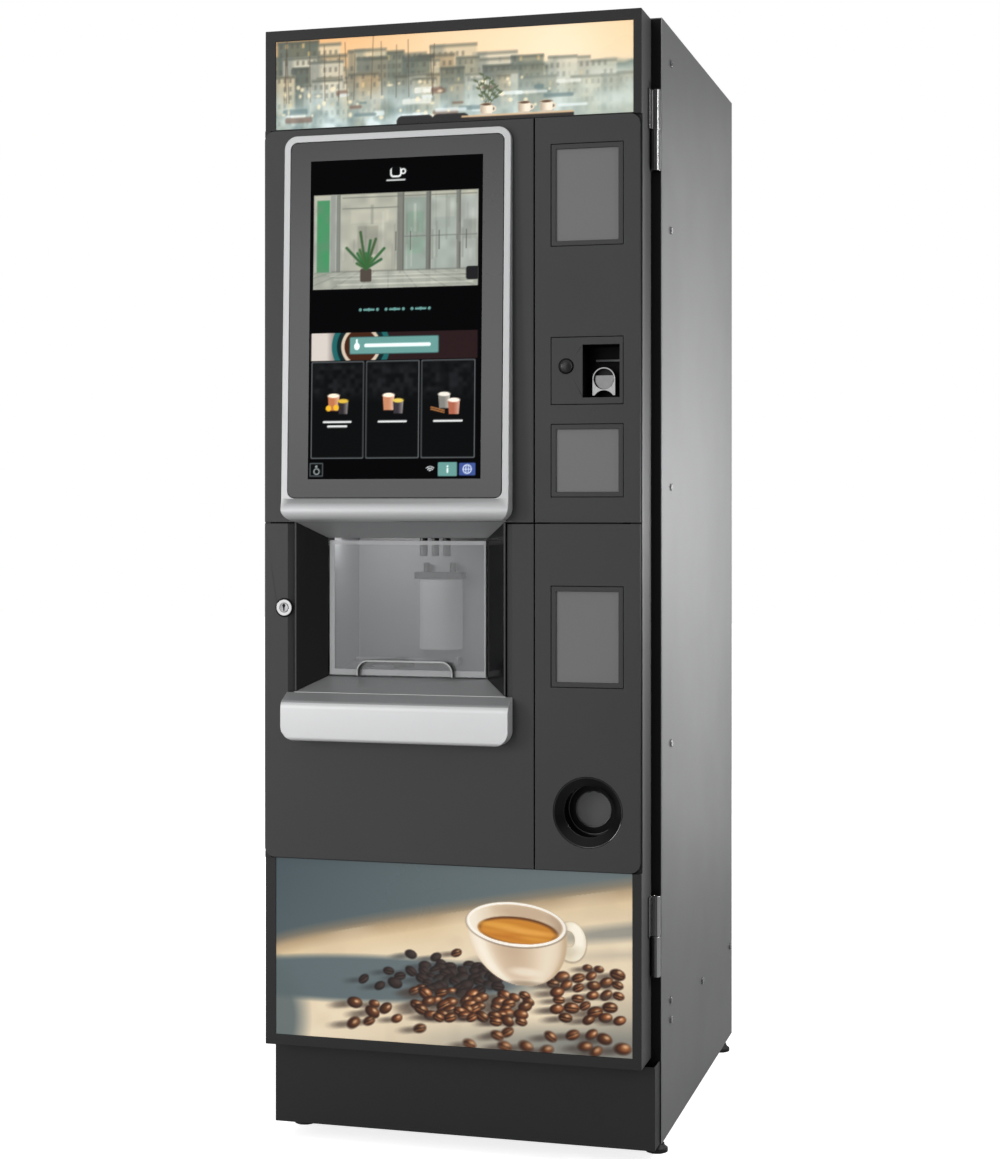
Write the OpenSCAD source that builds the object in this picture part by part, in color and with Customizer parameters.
// Floor-standing hot drinks vending machine: a sheet-steel cabinet with brewing gear inside and a
// hinged service door that carries the touch screen, the cup recess and the coin gear.
// +Z is up, the door faces -Y, and the origin is on the floor at the centre of the footprint.
// Depths are measured back from the front plane of the door, and at() turns them into Y.

/* [Cabinet] */
// Width over the side panels
cabinet_w = 600; // [596:1:610]
// Height from the floor to the top panel
cabinet_h = 1700; // [1696:1:1710]
// Depth from the front of the cup tray's lip to the rear panel
total_d = 780; // [775:1:800]
// Height of the cabinet's underside over the floor
ground_gap = 27; // [24:1:30]
// Thickness of the cabinet's sheet steel
sheet = 2; // [1.5:0.5:2.5]

/* [Door] */
// Right edge of the door, measured from the centre
door_right = 284; // [283:0.5:285]
// Height of the door's lower edge
door_bottom = 154; // [152:1:156]
// Depth of the door from its front plane to its rear face
door_t = 73; // [71:0.5:73]
// Height of the lower edge of the plastic fascia
fascia_bottom = 440; // [438:1:442]
// Height of the upper edge of the plastic fascia
fascia_top = 1545; // [1543:1:1547]
// Width of the gap between fascia panels
seam = 2; // [1:0.5:3]
// How far the door opens, in degrees
door_open = 110; // [60:5:110]

/* [Screen] */
// Width of the cover glass
glass_w = 335; // [330:1:338]
// Height of the cover glass
glass_h = 538; // [534:1:540]
// Width of the lit picture
picture_w = 270; // [266:1:272]
// Height of the lit picture
picture_h = 480; // [474:1:484]

/* [Cup recess] */
// Width of the recess at the fascia
recess_front_w = 326; // [322:1:328]
// Width of the recess at the hatch
recess_back_w = 253; // [250:1:256]
// Depth of the recess from the fascia to the hatch
recess_d = 41; // [40:0.5:42]

/* [Coin gear] */
// Radius of the coin return bowl's flange
bowl_r = 52; // [50:1:54]
// Radius of the coin return flap
flap_r = 26; // [24:0.5:27]
// Travel of the coin reject button
button_travel = 4; // [2:0.5:4]

/* [Hidden] */
$fn = 64;
eps = 0.5; // how far a cutter runs past the face it cuts

// Overall layout
half_w = cabinet_w / 2;
inner_w = half_w - sheet;
lip_reach = 30;
cabinet_front = 77;
cabinet_back = total_d - lip_reach;
roof_under = cabinet_h - sheet;
door_left = -half_w;
door_top = cabinet_h - 2;
fascia_front = -1.5;
fascia_back = 8.5;
frame_front = 1.5;
frame_back = 92;
seam_x = 124;
seam_z = 949;
door_band = 16.5;
header_bottom = fascia_top + 2;

// Opening of the cabinet that the door closes
mouth_x = [-278, 262];
mouth_z = [165, 1672];

// Door hinges: two lift-off pairs, the cabinet's knuckle below and the door's above
hinge_x = 292;
hinge_depth = 67;
hinge_bottoms = [277, 1471];
knuckle_r = 7.5;
knuckle_h = 60;
pin_r = 3.5;
pin_clearance = 0.05;

// Levelling feet
foot_x = 282;
foot_depths = [128, 728];
foot_r = 17;
foot_stem_r = 6;

// Screen: the cover glass leans out towards its lower edge
screen_x = -86.5;
glass_bottom = 986;
glass_top = glass_bottom + glass_h;
glass_t = 4;
lean_top = -10;
lean_bottom = -26;
bezel_band = 10;
bezel_top = glass_top + bezel_band;
bezel_corner = 20;
chin_r = 15;
chin_z = 967;
hood_z = 951;

// Cup recess
recess_x = -86;
recess_wall = 3;
sill_front = 693;
sill_back = 714;
hood_back = 926;
tray_half_w = 177.5;
tray_corner = 22;
tray_bottom = 621;
nose_r = 14;
nose_z = 669.5;
nose_depth = -lip_reach + nose_r;

// Hatch
hatch_gap = 2;
hatch_x = [recess_x - recess_back_w / 2 + hatch_gap, recess_x + recess_back_w / 2 - hatch_gap];
hatch_z = [716, 922];
hatch_pin = [46, 917];
hatch_pin_r = 3;

// Coin gear
module_x = [149, 258];
plate_bands = [[1355, 1505.5], [987, 1094.5], [708, 857]];
entry_z = [1122.5, 1222];
entry_hole_x = [197, 252];
entry_hole_z = [1133, 1210];
button_x = 172;
button_z = 1179;
bowl_x = 204.5;
bowl_z = 526;
bowl_inner_r = 37.5;
bowl_back = 38;
flap_pin = [bowl_back + 4, bowl_z + flap_r + 0.5];
lock_x = -267.7;
lock_z = 820;
lock_plug_r = 6.95;
lock_bore_r = 7;
cam_depth = [94, 98];

// Gear inside the cabinet
station_x = [-230, 57];
station_depth = [78, 230];
station_z = [697, 945];
shelf_z = [960, 963];
bin_shelf_z = [164, 167];
drop_x = -150;
drop_depth = 150;
cup_hole_r = 40;
column_pitch = 75;
column_count = 5;
turret_depth = drop_depth + column_pitch;
cup_r = 35;
spout_x = [-94, -75, -56];
rail_depth = 214;
rail_z = 727;
canister_count = 3;
canister_x0 = -22;
canister_step = 64;
canister_w = 60;
canister_depth = [115, 330];
canister_z = [1150, 1400];
auger_z = 1168;
auger_r = 11;
auger_bore_r = 11.5;
brewer_x = 232;
brewer_depth = 205;
piston_r = 24;
hopper_z = [1442, 1640];
hopper_x = [-20, 285];
hopper_depth = [110, 380];
neck_r = 30;
shutter_z = [1431, 1434];
bin_x = [-20, 255];
bin_depth = [110, 430];
bin_z = [168, 560];
valve_x = 200;
valve_z = 150;
socket_x = 100;
inlet_hole_x = [60, 250];
inlet_hole_z = [100, 200];

rivet_head_h = 3;

// Rivets along each side panel, as [depth, height]
side_rivet_points = [[145, 1645], [145, 1392], [145, 1003], [145, 615], [143, 226], [143, 196],
    [429, 192], [721, 189]];

function at(depth) = -total_d / 2 + lip_reach + depth;
function canister_x(i) = canister_x0 + i * canister_step;
function middle(range) = (range[0] + range[1]) / 2;
function lean(z) = lean_bottom + (lean_top - lean_bottom) * (z - glass_bottom) / glass_h;
function grow(range, by) = [range[0] - by, range[1] + by];

// A box given by its ranges in x, depth and z
module block(x, depth, z) {
    translate([x[0], at(depth[0]), z[0]])
        cube([x[1] - x[0], depth[1] - depth[0], z[1] - z[0]]);
}

// A flat shape drawn in (x, z) and given a range of depths
module front_plate(depth) {
    translate([0, at(depth[1]), 0]) rotate([90, 0, 0])
        linear_extrude(depth[1] - depth[0]) children();
}

// A side profile drawn in (depth, z) and given a range of x
module side_profile(x) {
    translate([x[0], at(0), 0]) rotate([90, 0, 90])
        linear_extrude(x[1] - x[0]) children();
}

// A plan shape drawn in (x, depth) and given a range of z
module plan_shape(z) {
    translate([0, at(0), z[0]]) linear_extrude(z[1] - z[0]) children();
}

module rect(x, z) {
    translate([x[0], z[0]]) square([x[1] - x[0], z[1] - z[0]]);
}

// A rectangle with its own radius at each corner: lower left, lower right, upper right, upper left
module soft_rect(x, z, r) {
    corners = [[x[0], z[0]], [x[1], z[0]], [x[1], z[1]], [x[0], z[1]]];
    inward = [[1, 1], [-1, 1], [-1, -1], [1, -1]];
    difference() {
        rect(x, z);
        for (i = [0:3]) if (r[i] > 0) {
            centre = corners[i] + r[i] * inward[i];
            difference() {
                translate(corners[i] - inward[i]) rect_from(r[i] + 1, inward[i]);
                translate(centre) circle(r[i]);
            }
        }
    }
}

// A square that grows from the origin into the quadrant that signs name
module rect_from(size, signs) {
    translate([signs[0] < 0 ? -size : 0, signs[1] < 0 ? -size : 0]) square(size);
}

// A rod along the depth
module depth_rod(r, depth, x, z) {
    translate([x, at(depth[1]), z]) rotate([90, 0, 0]) cylinder(r = r, h = depth[1] - depth[0]);
}

// A rod along x
module cross_rod(r, x, depth, z) {
    translate([x[0], at(depth), z]) rotate([0, 90, 0]) cylinder(r = r, h = x[1] - x[0]);
}

// An upright rod
module post(r, z, x, depth) {
    translate([x, at(depth), z[0]]) cylinder(r = r, h = z[1] - z[0]);
}

// ---- Cabinet ----

// side is -1 for the left panel and 1 for the right one
module side_panel(side) {
    rivet_hole_r = 4.05;
    x = side < 0 ? [-half_w, -half_w + sheet] : [half_w - sheet, half_w];
    difference() {
        block(x, [cabinet_front, cabinet_back], [ground_gap, cabinet_h]);
        for (p = side_rivet_points) cross_rod(rivet_hole_r, grow(x, eps), p[0], p[1]);
    }
}

module left_side_panel() {
    color("dimgray") side_panel(-1);
}

module right_side_panel() {
    color("dimgray") side_panel(1);
}

module side_rivets() {
    head_r = 5.5;
    collar_r = 4;
    shank_r = 2.4;
    seat_gap = 0.05;
    color("silver") for (side = [-1, 1], p = side_rivet_points)
        mirror([side < 0 ? 1 : 0, 0, 0]) {
            cross_rod(head_r, [half_w + seat_gap, half_w + rivet_head_h], p[0], p[1]);
            cross_rod(collar_r, [half_w - sheet, half_w + seat_gap], p[0], p[1]);
            cross_rod(shank_r, [half_w - sheet - 8, half_w - sheet], p[0], p[1]);
        }
}

module rear_panel() {
    slot_count = 12;
    slot_h = 4;
    slot_step = 12;
    anti_tip_r = 4.5;
    color("dimgray") difference() {
        block([-inner_w, inner_w], [cabinet_back - sheet, cabinet_back], [ground_gap, roof_under]);
        for (z0 = [330, 1380], x0 = [-190, 70], i = [0:slot_count - 1])
            block([x0, x0 + 120], [cabinet_back - sheet - eps, cabinet_back + eps],
                [z0 + i * slot_step, z0 + i * slot_step + slot_h]);
        block(inlet_hole_x, [cabinet_back - sheet - eps, cabinet_back + eps], inlet_hole_z);
        for (x = [-200, 200])
            depth_rod(anti_tip_r, [cabinet_back - sheet - eps, cabinet_back + eps], x, 1620);
    }
}

module top_panel() {
    color("dimgray")
        block([-inner_w, inner_w], [cabinet_front, cabinet_back - sheet], [roof_under, cabinet_h]);
}

module base_tray() {
    boss_r = 14;
    boss_h = 12;
    stem_clearance = 0.3;
    floor_z = [ground_gap, ground_gap + sheet];
    color("gray") difference() {
        union() {
            block([-inner_w, inner_w], [frame_back, cabinet_back - sheet], floor_z);
            for (x = [-foot_x, foot_x], d = foot_depths)
                post(boss_r, [floor_z[1], floor_z[1] + boss_h], x, d);
        }
        for (x = [-foot_x, foot_x], d = foot_depths)
            post(foot_stem_r + stem_clearance, [0, 60], x, d);
    }
}

module front_frame() {
    color("black") difference() {
        block([-inner_w, inner_w], [cabinet_front, frame_back], [ground_gap, roof_under]);
        block(mouth_x, [cabinet_front - eps, frame_back + eps], mouth_z);
    }
}

module door_gasket() {
    color("black") front_plate([door_t + 0.4, cabinet_front]) difference() {
        rect([-294, 276], [160, 1690]);
        rect([-285, 267], [169, 1681]);
    }
}

module levelling_foot() {
    pad_h = 6;
    color("black") {
        cylinder(r = foot_r, h = pad_h);
        translate([0, 0, pad_h]) cylinder(r1 = foot_r - 1.5, r2 = 9, h = 8);
        translate([0, 0, pad_h]) cylinder(r = foot_stem_r, h = 38);
        translate([0, 0, 14]) cylinder(r = 10, h = 9, $fn = 6);
    }
}

module levelling_feet() {
    for (x = [-foot_x, foot_x], d = foot_depths) translate([x, at(d), 0]) levelling_foot();
}

module kick_plate() {
    plate_front = 36;
    side_x = half_w - 3;
    color("black") difference() {
        block([-side_x, side_x], [plate_front, cabinet_front], [ground_gap, door_bottom - 4]);
        block([-side_x + sheet, side_x - sheet], [plate_front + sheet, cabinet_front + eps],
            [ground_gap - eps, door_bottom]);
    }
}

// ---- Door hinges ----

module cabinet_hinges() {
    color("silver") for (z = hinge_bottoms) difference() {
        union() {
            post(knuckle_r, [z, z + knuckle_h], hinge_x, hinge_depth);
            block([279, 297], [door_t + 0.6, cabinet_front], [z, z + knuckle_h]);
        }
        post(pin_r, [z + 2, z + knuckle_h + eps], hinge_x, hinge_depth);
    }
}

module door_hinges() {
    color("silver") for (z = hinge_bottoms) {
        span = [z + knuckle_h + 0.5, z + 2 * knuckle_h];
        difference() {
            union() {
                post(knuckle_r, span, hinge_x, hinge_depth);
                block([door_right, door_right + 2.5], [48, hinge_depth], span);
            }
            post(pin_r + pin_clearance, grow(span, eps), hinge_x, hinge_depth);
        }
    }
}

module hinge_pins() {
    color("silver") for (z = hinge_bottoms)
        post(pin_r, [z + 2, z + 2 * knuckle_h - 2], hinge_x, hinge_depth);
}

// ---- Cup handling ----

module shelf_plates() {
    hose_r = 6.5;
    color("gray") {
        difference() {
            block([-inner_w, inner_w], [95, 700], shelf_z);
            post(cup_hole_r, grow(shelf_z, eps), drop_x, drop_depth);
            for (x = spout_x) post(hose_r, grow(shelf_z, eps), x, 152);
        }
        block([-inner_w, inner_w], [95, 640], bin_shelf_z);
    }
}

module cup_station() {
    wall = 3;
    floor_t = 10;
    rail_r = 4;
    rail_end = -54;
    slot_count = 13;
    color("gray") union() {
        difference() {
            block(station_x, station_depth, station_z);
            block(grow(station_x, -wall), [station_depth[0] - eps, station_depth[1] - wall],
                [station_z[0] + floor_t, station_z[1] - wall]);
            block([-200, 20], [100, 205], [station_z[1] - wall - eps, station_z[1] + eps]);
            for (i = [0:slot_count - 1])
                block([-212 + i * 20, -202 + i * 20], [90, 200],
                    [station_z[0] - eps, station_z[0] + floor_t + eps]);
        }
        cross_rod(rail_r, [station_x[0] + 1, rail_end], rail_depth, rail_z);
        block([rail_end - 6, rail_end], [rail_depth - 6, station_depth[1] - 1],
            [rail_z - 6, rail_z + 6]);
    }
}

module dispensing_spouts() {
    nozzle_r = 6;
    nozzle_bore = 3.5;
    color("black") difference() {
        union() {
            block([-106, -44], [135, 170], [928, shelf_z[0]]);
            for (x = spout_x) post(nozzle_r, [896, 978], x, 152);
            block([-127, -47], [206, station_depth[1] - 3], [858, 869]);
            post(5, [869, 884], -109, 216);
            post(5, [869, 884], -65, 216);
        }
        for (x = spout_x) post(nozzle_bore, [895, 979], x, 152);
    }
}

// Half-round guide that a full cup stands in front of
module cup_guide() {
    guide_r = 35;
    guide_x = -87;
    guide_back = station_depth[1] - 3;
    color("silver") intersection() {
        difference() {
            post(guide_r, [746, 857], guide_x, guide_back);
            post(guide_r - 3, [745, 853], guide_x, guide_back);
        }
        block([-130, -20], [190, guide_back], [740, 870]);
    }
}

module cup_turret() {
    plate_r = column_pitch + 42;
    hole_r = cup_r + 2;
    color("dimgray") difference() {
        union() {
            post(plate_r, [985, 989], drop_x, turret_depth);
            post(plate_r, [1330, 1334], drop_x, turret_depth);
            post(9, [shelf_z[1] + 0.3, 1350], drop_x, turret_depth);
        }
        for (i = [0:column_count - 1]) cup_column(i, hole_r, [980, 1340]);
    }
}

// One upright column of the turret; column 0 stands over the drop hole
module cup_column(i, r, z) {
    a = 360 * i / column_count - 90;
    post(r, z, drop_x + column_pitch * cos(a), turret_depth + column_pitch * sin(a));
}

module cup_stacks() {
    color("white") for (i = [0:column_count - 1]) cup_column(i, cup_r, [984, 1395]);
}

module cup_carriage() {
    ring_r = 40;
    ring_z = [722, 732];
    color("black") difference() {
        union() {
            post(ring_r, ring_z, drop_x, drop_depth);
            block([drop_x - 8, drop_x + 8], [drop_depth + 30, rail_depth + 9], ring_z);
        }
        post(ring_r - 7, grow(ring_z, eps), drop_x, drop_depth);
        block([drop_x - 18, drop_x + 18], [drop_depth - 50, drop_depth], grow(ring_z, eps));
        cross_rod(4.3, [drop_x - 20, drop_x + 20], rail_depth, rail_z);
    }
}

// ---- Brewing gear ----

module bean_hopper() {
    wall = 3;
    color("lightgray") difference() {
        union() {
            block(hopper_x, hopper_depth, hopper_z);
            post(neck_r, [1424, hopper_z[0] + 1], brewer_x, brewer_depth);
        }
        block(grow(hopper_x, -wall), grow(hopper_depth, -wall), [hopper_z[0] + wall, hopper_z[1] + eps]);
        post(neck_r - wall, [1423, hopper_z[0] + 5], brewer_x, brewer_depth);
        block([brewer_x - 24.5, brewer_x + 24.5], [brewer_depth - 40, brewer_depth + neck_r - 4],
            grow(shutter_z, 0.3));
    }
}

module bean_hopper_lid() {
    top = hopper_z[1] + 5;
    color("black") union() {
        block(grow(hopper_x, 2), grow(hopper_depth, 2), [hopper_z[1] + 0.4, top]);
        block([110, 155], [150, 158], [top - 1, top + 6]);
    }
}

module hopper_shutter() {
    color("black") {
        block([brewer_x - 24, brewer_x + 24], [brewer_depth - 60, brewer_depth + neck_r - 5], shutter_z);
        block([brewer_x - 15, brewer_x + 15], [brewer_depth - 63, brewer_depth - 60],
            [shutter_z[0] - 10, shutter_z[1]]);
    }
}

module grinder() {
    color("gray") union() {
        post(45, [1340, 1423.5], brewer_x, brewer_depth);
        post(34, [1302, 1341], brewer_x, brewer_depth);
        block([brewer_x - 12, brewer_x + 12], [brewer_depth - 70, brewer_depth - 30], [1318, 1372]);
    }
}

module brewer_body() {
    color("black") difference() {
        union() {
            block([180, 284], [135, 275], [985, 1150]);
            post(40, [1149, 1235], brewer_x, brewer_depth);
            block([196, 268], [122, 136], [1000, 1120]);
            block([200, 264], [176, 234], [shelf_z[1], 986]);
        }
        post(piston_r + 0.1, [1050, 1236], brewer_x, brewer_depth);
    }
}

module brewer_piston() {
    color("silver") union() {
        post(piston_r, [1150, 1240], brewer_x, brewer_depth);
        post(12, [1239, 1266], brewer_x, brewer_depth);
    }
}

module product_canister(i) {
    x = [canister_x(i), canister_x(i) + canister_w];
    snout_r = 15;
    color("whitesmoke") difference() {
        union() {
            block(x, canister_depth, canister_z);
            depth_rod(snout_r, [canister_depth[0] - 22, canister_depth[0] + 1], middle(x), auger_z);
        }
        depth_rod(auger_bore_r, [canister_depth[0] - 23, canister_depth[1] + 1], middle(x), auger_z);
    }
}

module product_canisters() {
    for (i = [0:canister_count - 1]) product_canister(i);
}

// Dosing auger: a shaft with slanted flights, and the drive dog behind the canister
module auger(i) {
    x = canister_x(i) + canister_w / 2;
    flight_t = 1.6;
    flight_slant = 20;
    flight_step = 16;
    first = canister_depth[0] - 14;
    color("white") union() {
        depth_rod(4, [first - 6, canister_depth[1] + 4], x, auger_z);
        for (d = [first:flight_step:canister_depth[1] - 12])
            translate([x, at(d), auger_z]) rotate([90 + flight_slant, 0, 0])
                cylinder(r = auger_r - 0.2, h = flight_t, center = true);
        depth_rod(17, [canister_depth[1] + 3, canister_depth[1] + 11], x, auger_z);
    }
}

module auger_1() auger(0);
module auger_2() auger(1);
module auger_3() auger(2);

module mixing_bowls() {
    color("dimgray") for (i = [0:canister_count - 1]) {
        x = canister_x(i) + canister_w / 2;
        difference() {
            union() {
                post(27, [1085, 1138], x, 118);
                translate([x, at(118), 1055]) cylinder(r1 = 8, r2 = 27, h = 30);
                post(6, [1030, 1056], x, 118);
            }
            post(24.5, [1090, 1139], x, 118);
        }
    }
}

module mixer_motors() {
    color("silver") for (i = [0:canister_count - 1]) {
        x = canister_x(i) + canister_w / 2;
        depth_rod(20, [160, 222], x, 1105);
        depth_rod(5, [145.2, 161], x, 1105);
    }
}

module boiler() {
    color("silver") {
        post(75, [520, 860], 190, 600);
        post(30, [860, 880], 190, 600);
        post(30, [500, 520], 190, 600);
    }
}

// Inlet valve with its threaded spigot facing the rear
module water_inlet_valve() {
    spigot_r = 13.2;
    color("white") difference() {
        union() {
            depth_rod(spigot_r, [726, 746], valve_x, valve_z);
            depth_rod(19, [708, 727], valve_x, valve_z);
            block([valve_x - 16, valve_x + 16], [670, 709], [valve_z - 18, valve_z + 40]);
        }
        depth_rod(8, [700, 747], valve_x, valve_z);
    }
}

module mains_inlet() {
    color("black") difference() {
        block([socket_x - 16, socket_x + 16], [716, 746], [138, 162]);
        block([socket_x - 12, socket_x + 12], [724, 747], [142, 158]);
    }
}

module control_unit() {
    color("silver") block([-285, -60], [120, 400], [1450, 1655]);
}

module waste_bin() {
    wall = 3;
    color("black") difference() {
        block(bin_x, bin_depth, bin_z);
        block(grow(bin_x, -wall), grow(bin_depth, -wall), [bin_z[0] + wall, bin_z[1] + eps]);
    }
}

// ---- Door ----

module door_frame() {
    inside_x = [door_left + 17, 267];
    color("black") difference() {
        block([door_left, door_right], [frame_front, door_t], [door_bottom, door_top]);
        block([door_left + door_band, 272], [0, door_t + eps], [header_bottom, door_top - 16]);
        block(inside_x, [0, door_t + eps], [fascia_bottom + 16, fascia_top - 15]);
        block([door_left + door_band, 270.5], [0, door_t + eps], [door_bottom + 15.5, fascia_bottom - 1]);
        block([door_left - eps, door_right + eps], [0, fascia_back + eps],
            [fascia_bottom - 0.5, fascia_top + 0.5]);
    }
}

module header_light_panel() {
    color("wheat") block([door_left + 17, 271.5], [3, 40], [header_bottom + 0.5, door_top - 16.5]);
}

module lower_light_panel() {
    color("wheat") block([door_left + 17, 270], [3, 40], [door_bottom + 16, fascia_bottom - 1.5]);
}

fascia_right = 282.5;
fascia_corner = 15;
fascia_split_x = [seam_x - seam / 2, seam_x + seam / 2];
fascia_split_z = [seam_z - seam / 2, seam_z + seam / 2];

module fascia_upper_left() {
    color("dimgray") front_plate([fascia_front, fascia_back]) difference() {
        soft_rect([door_left, fascia_split_x[0]], [fascia_split_z[1], fascia_top],
            [0, 0, 0, fascia_corner]);
        rect([screen_x - 164, screen_x + 164], [992, 1518]);
        rect(grow(recess_front_span, 3.5), [fascia_split_z[1] - 1, 957]);
    }
}

recess_front_span = [recess_x - recess_front_w / 2, recess_x + recess_front_w / 2];
recess_back_span = [recess_x - recess_back_w / 2, recess_x + recess_back_w / 2];

module fascia_lower_left() {
    bevel_w = 10;
    bevel_d = 5;
    notch = grow(recess_front_span, 3.5);
    color("dimgray") difference() {
        front_plate([fascia_front, fascia_back]) difference() {
            soft_rect([door_left, fascia_split_x[0]], [fascia_bottom, fascia_split_z[0]],
                [fascia_corner, 0, 0, 0]);
            rect(notch, [689, seam_z]);
            translate([lock_x, lock_z]) circle(10.6);
        }
        plan_shape([689, seam_z]) {
            polygon([[notch[0] - bevel_w, fascia_front - 0.01], [notch[0] + 1, fascia_front - 0.01],
                [notch[0] + 1, fascia_front + bevel_d], [notch[0], fascia_front + bevel_d]]);
            polygon([[notch[1] + bevel_w, fascia_front - 0.01], [notch[1] - 1, fascia_front - 0.01],
                [notch[1] - 1, fascia_front + bevel_d], [notch[1], fascia_front + bevel_d]]);
        }
    }
}

module fascia_upper_right() {
    color("dimgray") front_plate([fascia_front, fascia_back]) difference() {
        soft_rect([fascia_split_x[1], fascia_right], [fascia_split_z[1], fascia_top],
            [0, 0, fascia_corner, 0]);
        rect(module_x, plate_bands[0]);
        rect(module_x, plate_bands[1]);
        rect(module_x, entry_z);
    }
}

module fascia_lower_right() {
    color("dimgray") front_plate([fascia_front, fascia_back]) difference() {
        soft_rect([fascia_split_x[1], fascia_right], [fascia_bottom, fascia_split_z[0]],
            [0, fascia_corner, 0, 0]);
        rect(module_x, plate_bands[2]);
        translate([bowl_x, bowl_z]) circle(bowl_r + 0.3);
    }
}

// Covers over the three apertures for other payment gear: a band, and a plate set back inside it
module blank_plates() {
    gap = 0.8;
    band = 7;
    color("gray") for (z = plate_bands) difference() {
        block(grow(module_x, -gap), [fascia_front + 0.4, fascia_back - 0.5], grow(z, -gap));
        block(grow(module_x, -gap - band), [fascia_front, 1.5], grow(z, -gap - band));
    }
}

module coin_entry_plate() {
    gap = 0.8;
    wall = 3;
    color("dimgray") difference() {
        union() {
            block(grow(module_x, -gap), [fascia_front, fascia_back - 1.5], grow(entry_z, -gap));
            block(grow(entry_hole_x, wall), [fascia_back - 2, 48], grow(entry_hole_z, wall));
            depth_rod(14, [fascia_back - 2, 14], button_x, button_z);
        }
        block(entry_hole_x, [fascia_front - eps, 45], entry_hole_z);
        depth_rod(11.2, [fascia_front - eps, 4], button_x, button_z);
        depth_rod(6.08, [3, 15], button_x, button_z);
    }
}

// Round coin guide on a skirt with an arched foot, and the rail above it
module coin_chute() {
    disc_x = 223.4;
    disc_z = 1161;
    ring_r = 17.5;
    ring_bore = 15;
    foot_z = 1136.5;
    color("silver") union() {
        front_plate([22, 32]) difference() {
            union() {
                translate([disc_x, disc_z]) circle(ring_r);
                rect([disc_x - ring_r, disc_x + ring_r], [foot_z, disc_z]);
            }
            translate([disc_x, disc_z]) circle(ring_bore);
            translate([disc_x, 1128]) circle(16);
        }
        depth_rod(ring_bore + 0.5, [35, 38], disc_x, disc_z);
        front_plate([28, 36]) intersection() {
            translate([disc_x, disc_z]) circle(ring_bore + 0.5);
            rect([disc_x - 20, disc_x + 20], [1140, 1167]);
        }
        block([disc_x - 12, disc_x + 12], [30, 45], [1145, 1156]);
        block([208, entry_hole_x[1]], [38, 45], [1187.5, 1190.5]);
    }
}

module reject_button() {
    color("black") union() {
        depth_rod(10.5, [-7.5, -0.5], button_x, button_z);
        depth_rod(6, [-1, 19], button_x, button_z);
    }
}

module coin_return_bowl() {
    wall = 3;
    color("black") union() {
        translate([bowl_x, at(0), bowl_z]) rotate([-90, 0, 0]) rotate_extrude() polygon([
            [bowl_inner_r, fascia_back], [bowl_r - 1, fascia_front], [bowl_r, fascia_front],
            [bowl_r, fascia_back], [bowl_inner_r + wall, fascia_back + 6],
            [bowl_inner_r + wall, bowl_back + 1.5], [flap_r, bowl_back + 1.5],
            [flap_r, bowl_back], [bowl_inner_r, bowl_back]]);
        for (x = [-10.5, 7.5]) difference() {
            lug = [bowl_x + x, bowl_x + x + 3];
            union() {
                cross_rod(2.3, lug, flap_pin[0], flap_pin[1]);
                block(lug, [bowl_back + 1, flap_pin[0]], [flap_pin[1] - 1.8, flap_pin[1] + 2.3]);
            }
            cross_rod(1.55, grow(lug, eps), flap_pin[0], flap_pin[1]);
        }
    }
}

// Hangs behind the bowl's rear rim from a pin, and swings inwards
module coin_return_flap() {
    edge = flap_pin[1] - 2.5;
    color("gray") union() {
        intersection() {
            depth_rod(flap_r + 2, [flap_pin[0] - 1.2, flap_pin[0] + 1.2], bowl_x, bowl_z);
            block([bowl_x - 40, bowl_x + 40], [bowl_back, bowl_back + 9], [bowl_z - 40, edge]);
        }
        block([bowl_x - 6.5, bowl_x + 6.5], [flap_pin[0] - 1.2, flap_pin[0] + 1.2],
            [edge - 1, flap_pin[1]]);
        cross_rod(1.5, [bowl_x - 12, bowl_x + 12], flap_pin[0], flap_pin[1]);
    }
}

module lock_barrel() {
    color("silver") difference() {
        union() {
            depth_rod(12.5, [-4, fascia_front], lock_x, lock_z);
            depth_rod(10.5, [fascia_front, 60], lock_x, lock_z);
        }
        depth_rod(lock_bore_r, [-5, 61], lock_x, lock_z);
    }
}

// Key plug with the cam that reaches behind the cabinet's front frame when it is turned
module lock_plug() {
    cam_half_w = 6;
    cam_reach = 26;
    color("silver") difference() {
        union() {
            depth_rod(lock_plug_r, [-4.6, cam_depth[0] + 1], lock_x, lock_z);
            block([lock_x - cam_half_w, lock_x + cam_half_w], cam_depth,
                [lock_z - cam_reach, lock_z + cam_half_w]);
        }
        block([lock_x - 0.8, lock_x + 0.8], [-5, 3], [lock_z - 4.5, lock_z + 4.5]);
    }
}

module coin_changer() {
    color("gray") block([140, 255], [14, 86], [866, 1118]);
}

// The bezel's outline from the front: round corners, more so at the chin
module bezel_outline() {
    soft_rect([screen_x - glass_w / 2 - bezel_band, screen_x + glass_w / 2 + bezel_band],
        [hood_z, bezel_top], [bezel_corner, bezel_corner, bezel_corner, bezel_corner]);
}

module screen_bezel() {
    nose = [-lip_reach + chin_r + 0.5, chin_z];
    span = [screen_x - glass_w / 2 - bezel_band, screen_x + glass_w / 2 + bezel_band];
    color("silver") difference() {
        intersection() {
            side_profile(span) {
                polygon([[fascia_front, bezel_top], [lean_top, bezel_top], [lean_bottom, glass_bottom],
                    [nose[0] - chin_r, nose[1]], [nose[0], nose[1] - chin_r],
                    [fascia_front, hood_z]]);
                translate(nose) circle(chin_r);
            }
            front_plate([-lip_reach - 5, fascia_front]) bezel_outline();
        }
        front_plate([-lip_reach - 6, 0]) soft_rect([screen_x - glass_w / 2, screen_x + glass_w / 2],
            [glass_bottom, glass_top], [11, 11, 11, 11]);
    }
}

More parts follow.
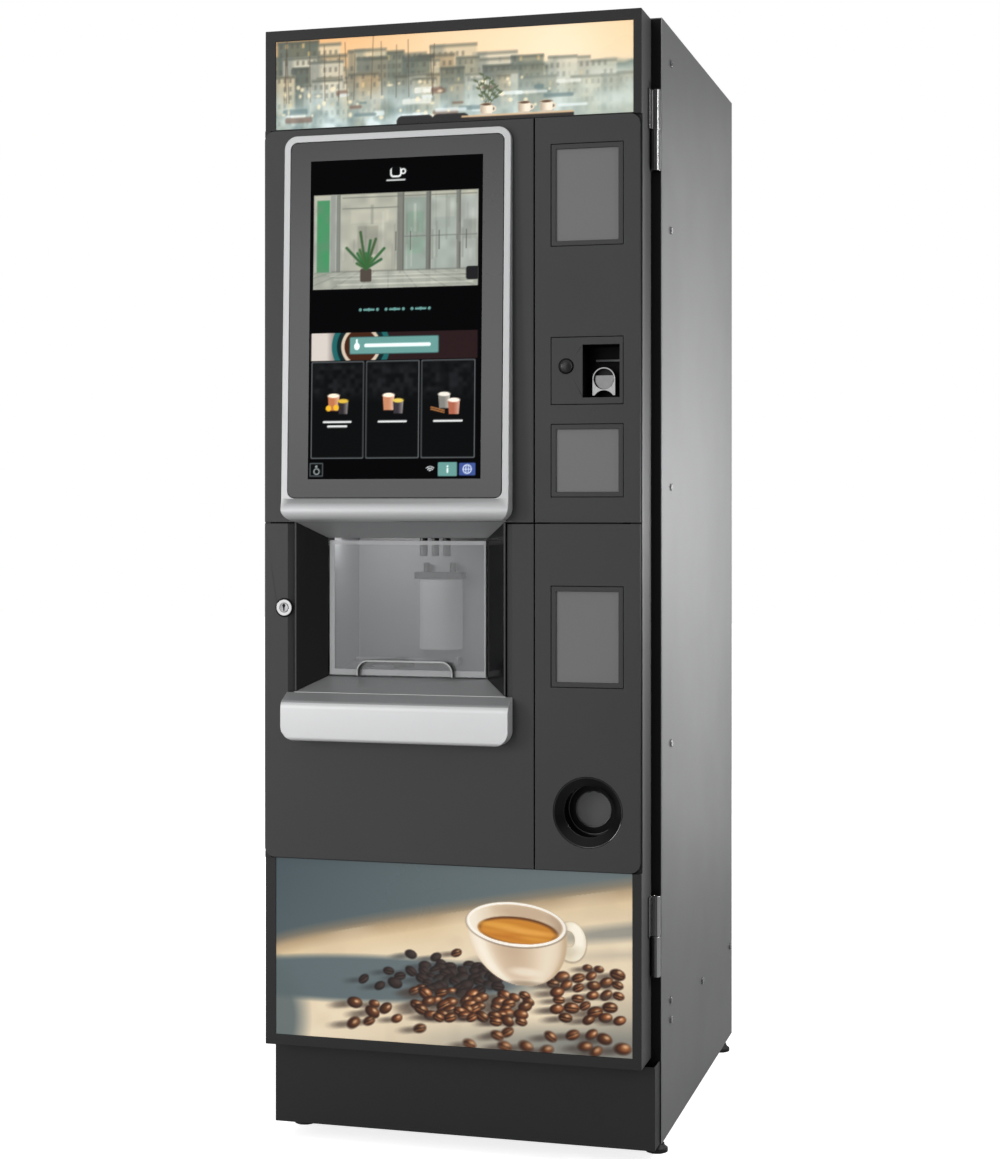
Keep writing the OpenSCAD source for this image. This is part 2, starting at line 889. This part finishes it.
module touch_glass() {
    gap = 0.3;
    x = [screen_x - glass_w / 2 + gap, screen_x + glass_w / 2 - gap];
    z = [glass_bottom + gap, glass_top - gap];
    color("black") intersection() {
        side_profile(x) polygon([[lean(z[0]), z[0]], [lean(z[1]), z[1]],
            [lean(z[1]) + glass_t, z[1]], [lean(z[0]) + glass_t, z[0]]]);
        front_plate([-lip_reach, 0]) soft_rect(x, z, [11, 11, 11, 11]);
    }
}

module lcd_module() {
    margin = 12;
    x = [screen_x - picture_w / 2 - margin, screen_x + picture_w / 2 + margin];
    z = [998, 1512];
    color("silver") side_profile(x) polygon([[lean(z[0]) + glass_t + 0.3, z[0]],
        [lean(z[1]) + glass_t + 0.3, z[1]], [46, z[1]], [46, z[0]]]);
}

// Plan outline of the recess, widened by the wall: splayed to the hatch, then straight through the door
module recess_plan(by, front) {
    polygon([[recess_front_span[0] - by, front], [recess_front_span[1] + by, front],
        [recess_front_span[1] + by, 0], [recess_back_span[1] + by, recess_d],
        [recess_back_span[1] + by, door_t], [recess_back_span[0] - by, door_t],
        [recess_back_span[0] - by, recess_d], [recess_front_span[0] - by, 0]]);
}

module recess_hood() {
    color("dimgray") intersection() {
        side_profile([-300, 200]) polygon([[fascia_front, hood_z], [recess_d, hood_back],
            [door_t, hood_back], [door_t, hood_back + recess_wall],
            [recess_d + 1.5, hood_back + recess_wall], [fascia_front, hood_z + recess_wall]]);
        plan_shape([900, 980]) recess_plan(recess_wall, fascia_front);
    }
}

module recess_walls() {
    color("black") difference() {
        intersection() {
            plan_shape([680, 960]) difference() {
                recess_plan(recess_wall, 0);
                recess_plan(0, -1);
                rect([recess_back_span[0] - 1, recess_back_span[1] + 1], [recess_d, door_t + 1]);
            }
            side_profile([-300, 200]) polygon([[0, sill_front + 0.5], [recess_d, sill_back],
                [door_t, sill_back], [door_t, hood_back], [recess_d, hood_back], [0, hood_z - 1.2]]);
        }
        cross_rod(hatch_pin_r + 0.1, [recess_back_span[0] - 4, recess_back_span[1] + 4],
            hatch_pin[0], hatch_pin[1]);
    }
}

// Silver lip in front of the door, and the sill that slopes up from it to the hatch
module delivery_tray() {
    bottom_r = 6;
    lip_x = [screen_x - tray_half_w, screen_x + tray_half_w];
    slope = (sill_back - sill_front) / recess_d;
    tangent = [-sin(atan(slope)), cos(atan(slope))] * nose_r;
    nose = [nose_depth, nose_z];
    color("silver") {
        intersection() {
            side_profile(lip_x) {
                polygon([nose + tangent, [fascia_front, sill_front + slope * fascia_front],
                    [fascia_front, tray_bottom], [-lip_reach + bottom_r, tray_bottom],
                    [-lip_reach, tray_bottom + bottom_r], [-lip_reach, nose_z]]);
                translate(nose) circle(nose_r);
                translate([-lip_reach + bottom_r, tray_bottom + bottom_r]) circle(bottom_r);
            }
            front_plate([-lip_reach - 1, fascia_front])
                soft_rect(lip_x, [tray_bottom, 700], [tray_corner, tray_corner, 0, 0]);
        }
        intersection() {
            side_profile([-300, 200]) polygon([[fascia_front - 0.5, sill_front + slope * fascia_front],
                [0, sill_front], [recess_d, sill_back], [door_t, sill_back],
                [door_t, sill_back - recess_wall], [recess_d + 1, sill_back - recess_wall],
                [0, sill_front - recess_wall], [fascia_front - 0.5, sill_front - recess_wall - 1]]);
            plan_shape([680, 720]) recess_plan(recess_wall, fascia_front - 0.5);
        }
    }
}

// Clear hatch, hung on two pins near its upper edge, with a moulded pull at its lower edge
module hatch() {
    pane_depth = [recess_d, recess_d + 3];
    flange_back = recess_d + 15;
    flange_t = 2.5;
    pull_x = [-164, -11];
    pull_top = 740;
    pull_r = 18;
    wall = 2.5;
    color("lightcyan") union() {
        block(hatch_x, pane_depth, hatch_z);
        block([hatch_x[0], hatch_x[0] + flange_t], [recess_d + 2, flange_back], hatch_z);
        block([hatch_x[1] - flange_t, hatch_x[1]], [recess_d + 2, flange_back], hatch_z);
        block(hatch_x, [recess_d + 2, flange_back], [hatch_z[0], hatch_z[0] + flange_t]);
        front_plate([recess_d - 10, recess_d + 1]) difference() {
            soft_rect(pull_x, [hatch_z[0], pull_top], [0, 0, pull_r, pull_r]);
            soft_rect(grow(pull_x, -wall), [hatch_z[0] - 1, pull_top - wall],
                [0, 0, pull_r - wall, pull_r - wall]);
        }
        cross_rod(hatch_pin_r, [hatch_x[0] - 4, hatch_x[0] + 1], hatch_pin[0], hatch_pin[1]);
        cross_rod(hatch_pin_r, [hatch_x[1] - 1, hatch_x[1] + 4], hatch_pin[0], hatch_pin[1]);
    }
}

left_side_panel();
right_side_panel();
rear_panel();
top_panel();
base_tray();
front_frame();
door_gasket();
side_rivets();
levelling_feet();
kick_plate();
cabinet_hinges();
hinge_pins();
shelf_plates();
cup_station();
dispensing_spouts();
cup_guide();
bean_hopper();
grinder();
brewer_body();
product_canisters();
mixing_bowls();
mixer_motors();
boiler();
water_inlet_valve();
mains_inlet();
control_unit();
waste_bin();
cup_turret();
cup_stacks();
cup_carriage();
auger_1();
auger_2();
auger_3();
brewer_piston();
hopper_shutter();
bean_hopper_lid();
door_frame();
fascia_upper_left();
fascia_lower_left();
fascia_upper_right();
fascia_lower_right();
header_light_panel();
lower_light_panel();
screen_bezel();
touch_glass();
lcd_module();
recess_hood();
recess_walls();
delivery_tray();
blank_plates();
coin_entry_plate();
coin_chute();
coin_return_bowl();
lock_barrel();
coin_changer();
door_hinges();
hatch();
reject_button();
coin_return_flap();
lock_plug();
